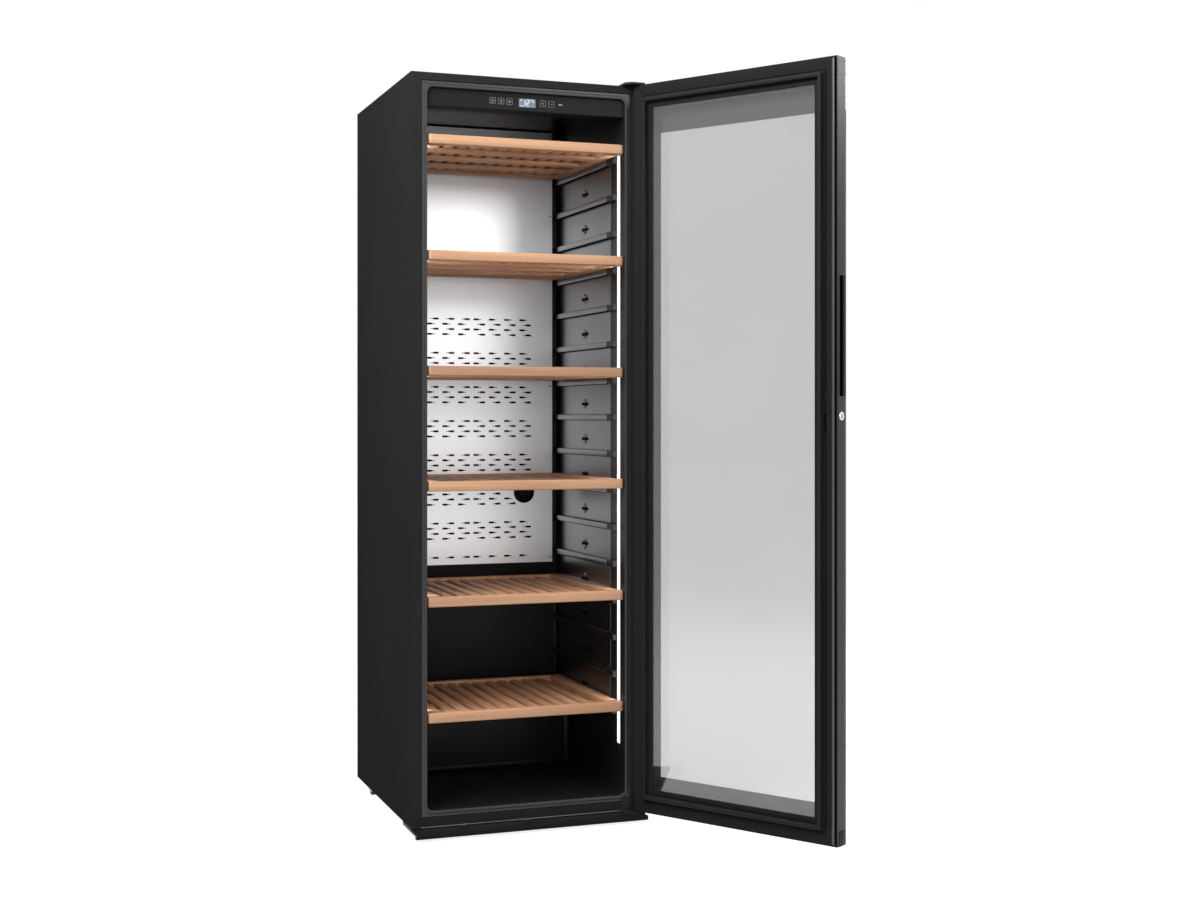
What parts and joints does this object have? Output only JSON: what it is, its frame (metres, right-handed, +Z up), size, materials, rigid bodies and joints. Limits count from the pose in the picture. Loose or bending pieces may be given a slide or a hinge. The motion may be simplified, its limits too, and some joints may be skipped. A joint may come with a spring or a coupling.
{
  "type": "wine cooler",
  "caption": "Tall upright wine cooler with a smoked glass door standing open, six pull-out slatted wooden shelves, control fascia, side lights and rear rollers.",
  "frame": {"origin": "on the floor under the middle of the cabinet", "axes": "+X to the hinge side, +Y to the back, +Z up"},
  "size_m": [0.9163, 1.1649, 1.865],
  "materials": {
    "charcoal_steel": "satin",
    "bare_steel": "satin",
    "black_plastic": "matte",
    "liner_plastic": "satin",
    "foam": "matte",
    "brushed_plate": "brushed",
    "aluminium": "satin",
    "display": "gloss",
    "light": "gloss",
    "hinge_steel": "satin",
    "compressor_paint": "gloss",
    "smoked_glass": "gloss",
    "door_frame": "satin",
    "edge_metal": "satin",
    "seal_rubber": "matte",
    "chrome": "polished",
    "roller_plastic": "matte",
    "beech": "satin",
    "runner_metal": "satin"
  },
  "bodies": {
    "cabinet": {"left_side_panel": "charcoal_steel", "right_side_panel": "charcoal_steel", "top_panel": "charcoal_steel", "rear_panel": "charcoal_steel", "bottom_front_rail": "charcoal_steel", "base_pan": "bare_steel", "roller_forks": "bare_steel", "levelling_feet": "aluminium", "plinth": "black_plastic", "front_frame": "black_plastic", "liner_left_wall": "liner_plastic", "liner_right_wall": "liner_plastic", "liner_ceiling": "liner_plastic", "liner_floor": "liner_plastic", "liner_step": "liner_plastic", "liner_back_wall": "liner_plastic", "insulation": "foam", "left_rail_panel": "brushed_plate", "right_rail_panel": "brushed_plate", "back_plate": "brushed_plate", "fan_frame": "black_plastic", "evaporator": "aluminium", "control_fascia": "black_plastic", "display_module": "display", "light_strips": "light", "top_hinge_bracket": "hinge_steel", "bottom_hinge_bracket": "hinge_steel", "compressor": "compressor_paint", "condenser": "aluminium", "rear_grille": "charcoal_steel", "cord_gland": "black_plastic"},
    "door": {"door_outer_glass": "smoked_glass", "door_free_stile": "door_frame", "door_grip": "door_frame", "door_edge_profile": "edge_metal", "door_hinge_stile": "door_frame", "door_bushes": "hinge_steel", "door_bottom_rail": "door_frame", "door_top_rail": "door_frame", "door_inner_glass": "smoked_glass", "door_glass_spacer": "black_plastic", "door_lining": "black_plastic", "door_gasket": "seal_rubber", "lock_housing": "chrome"},
    "door_lock": {"lock_barrel": "chrome"},
    "fan": {"circulation_fan": "black_plastic"},
    "left_roller": {"left_rear_roller": "roller_plastic"},
    "right_roller": {"right_rear_roller": "roller_plastic"},
    "shelf_1": {"shelf_1_wood": "beech", "shelf_1_runners": "runner_metal"},
    "shelf_2": {"shelf_2_wood": "beech", "shelf_2_runners": "runner_metal"},
    "shelf_3": {"shelf_3_wood": "beech", "shelf_3_runners": "runner_metal"},
    "shelf_4": {"shelf_4_wood": "beech", "shelf_4_runners": "runner_metal"},
    "shelf_5": {"shelf_5_wood": "beech", "shelf_5_runners": "runner_metal"},
    "shelf_6": {"shelf_6_wood": "beech", "shelf_6_runners": "runner_metal"}
  },
  "joints": [
    {"name": "door_hinge", "type": "hinge", "parent": "cabinet", "child": "door", "pos_m": [0.2855, -0.341, 0.9], "axis": [0, 0, -1], "range_deg": [0, 121.47]},
    {"name": "lock_turn", "type": "hinge", "parent": "door", "child": "door_lock", "pos_m": [0.60136, -0.83121, 1.023], "axis": [-0.522, 0.8529, 0], "range_deg": [0, 90]},
    {"name": "shelf_1_slide", "type": "slide", "parent": "cabinet", "child": "shelf_1", "axis": [0, 1, 0], "range_m": [-0.25, 0]},
    {"name": "shelf_2_slide", "type": "slide", "parent": "cabinet", "child": "shelf_2", "axis": [0, 1, 0], "range_m": [-0.25, 0]},
    {"name": "shelf_3_slide", "type": "slide", "parent": "cabinet", "child": "shelf_3", "axis": [0, 1, 0], "range_m": [-0.25, 0]},
    {"name": "shelf_4_slide", "type": "slide", "parent": "cabinet", "child": "shelf_4", "axis": [0, 1, 0], "range_m": [-0.25, 0]},
    {"name": "shelf_5_slide", "type": "slide", "parent": "cabinet", "child": "shelf_5", "axis": [0, 1, 0], "range_m": [-0.25, 0]},
    {"name": "shelf_6_slide", "type": "slide", "parent": "cabinet", "child": "shelf_6", "axis": [0, 1, 0], "range_m": [-0.25, 0]},
    {"name": "fan_spin", "type": "hinge", "parent": "cabinet", "child": "fan", "pos_m": [0.152, 0.2165, 0.809], "axis": [0, 1, 0], "continuous": true},
    {"name": "left_roller_spin", "type": "hinge", "parent": "cabinet", "child": "left_roller", "pos_m": [-0.2785, 0.179, 0.02], "axis": [1, 0, 0], "continuous": true},
    {"name": "right_roller_spin", "type": "hinge", "parent": "cabinet", "child": "right_roller", "pos_m": [0.2785, 0.179, 0.02], "axis": [1, 0, 0], "continuous": true}
  ]
}
